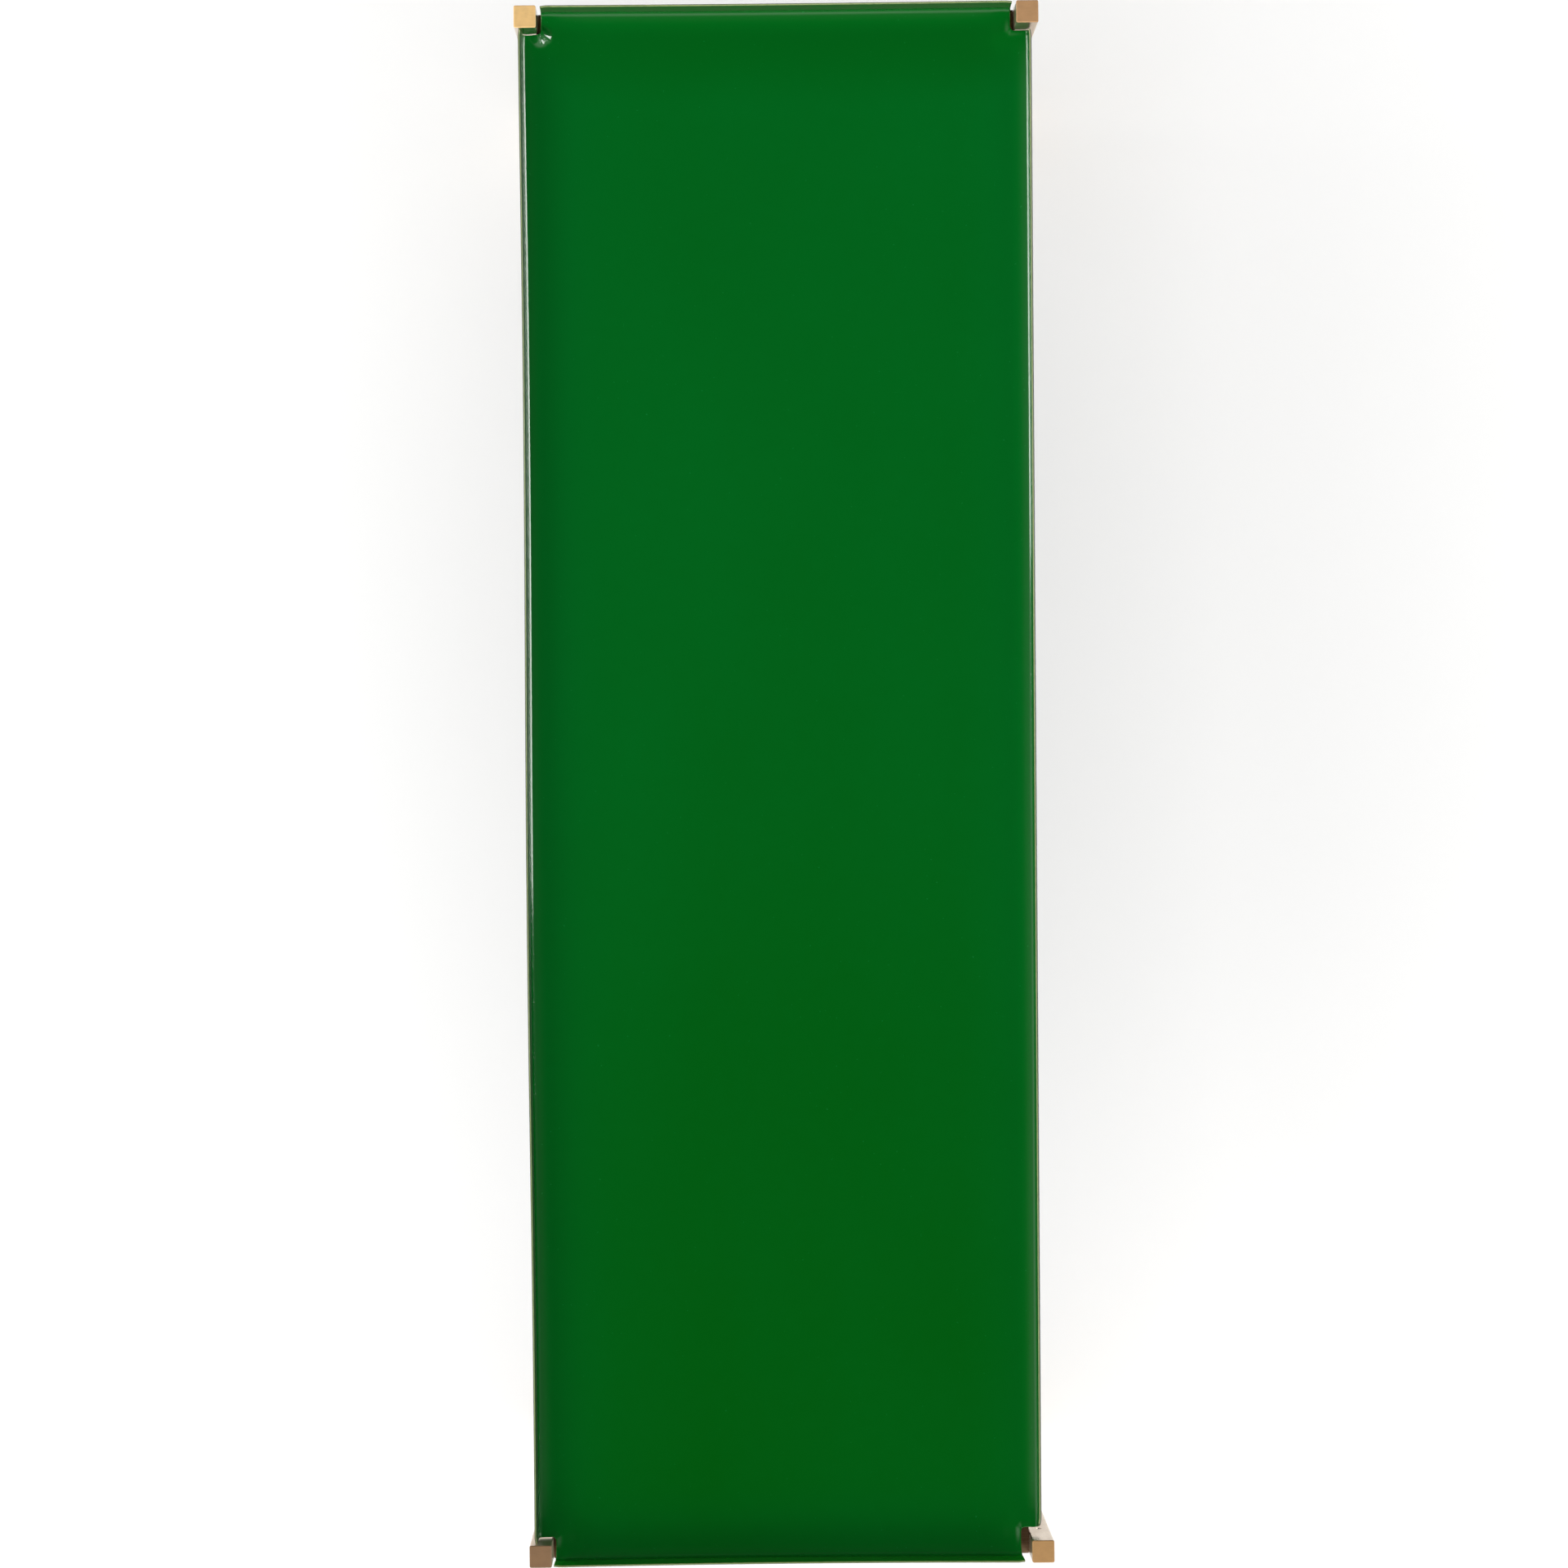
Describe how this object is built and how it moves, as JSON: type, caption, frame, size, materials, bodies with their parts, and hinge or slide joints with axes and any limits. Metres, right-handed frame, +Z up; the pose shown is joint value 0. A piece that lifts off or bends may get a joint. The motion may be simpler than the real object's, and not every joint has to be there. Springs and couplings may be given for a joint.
{
  "type": "tray table",
  "caption": "Long low table: an enamelled metal tray with raised coved walls, notched round square bronze legs and lifting off their frame.",
  "frame": {"origin": "floor level under the table's middle", "axes": "+Z up, +Y along the table towards its rear end, +X across to its right side"},
  "size_m": [0.378, 1.128, 0.425],
  "materials": {
    "tray_enamel": "deep green glossy vitreous enamel",
    "leg_bronze": "polished bronze with brown patina",
    "rail_bronze": "dark patinated bronze",
    "gusset_bronze": "dark patinated bronze",
    "fastener_steel": "plain steel",
    "glide_steel": "zinc plated",
    "bumper_rubber": "matte",
    "glide_nylon": "matte"
  },
  "bodies": {
    "frame": {"leg_front_left": "leg_bronze", "leg_front_right": "leg_bronze", "leg_rear_left": "leg_bronze", "leg_rear_right": "leg_bronze", "end_rail_front": "rail_bronze", "end_rail_rear": "rail_bronze", "long_rail_left": "rail_bronze", "long_rail_right": "rail_bronze", "slat_front": "rail_bronze", "slat_middle": "rail_bronze", "slat_rear": "rail_bronze", "gusset_front_left": "gusset_bronze", "gusset_front_right": "gusset_bronze", "gusset_rear_left": "gusset_bronze", "gusset_rear_right": "gusset_bronze", "gusset_screws": "fastener_steel", "slat_screws": "fastener_steel", "tenon_grub_screws": "fastener_steel", "rail_dowels": "fastener_steel", "tray_bumpers": "bumper_rubber"},
    "tray": {"tray": "tray_enamel"},
    "glide_front_left": {"glide_stem_front_left": "glide_steel", "glide_pad_front_left": "glide_nylon"},
    "glide_front_right": {"glide_stem_front_right": "glide_steel", "glide_pad_front_right": "glide_nylon"},
    "glide_rear_left": {"glide_stem_rear_left": "glide_steel", "glide_pad_rear_left": "glide_nylon"},
    "glide_rear_right": {"glide_stem_rear_right": "glide_steel", "glide_pad_rear_right": "glide_nylon"}
  },
  "joints": [
    {"name": "tray_lift", "type": "slide", "parent": "frame", "child": "tray", "axis": [0, 0, 1], "range_m": [0, 0.06]},
    {"name": "glide_front_left_screw", "type": "slide", "parent": "frame", "child": "glide_front_left", "axis": [0, 0, -1], "range_m": [0, 0.008]},
    {"name": "glide_front_right_screw", "type": "slide", "parent": "frame", "child": "glide_front_right", "axis": [0, 0, -1], "range_m": [0, 0.008]},
    {"name": "glide_rear_left_screw", "type": "slide", "parent": "frame", "child": "glide_rear_left", "axis": [0, 0, -1], "range_m": [0, 0.008]},
    {"name": "glide_rear_right_screw", "type": "slide", "parent": "frame", "child": "glide_rear_right", "axis": [0, 0, -1], "range_m": [0, 0.008]}
  ]
}
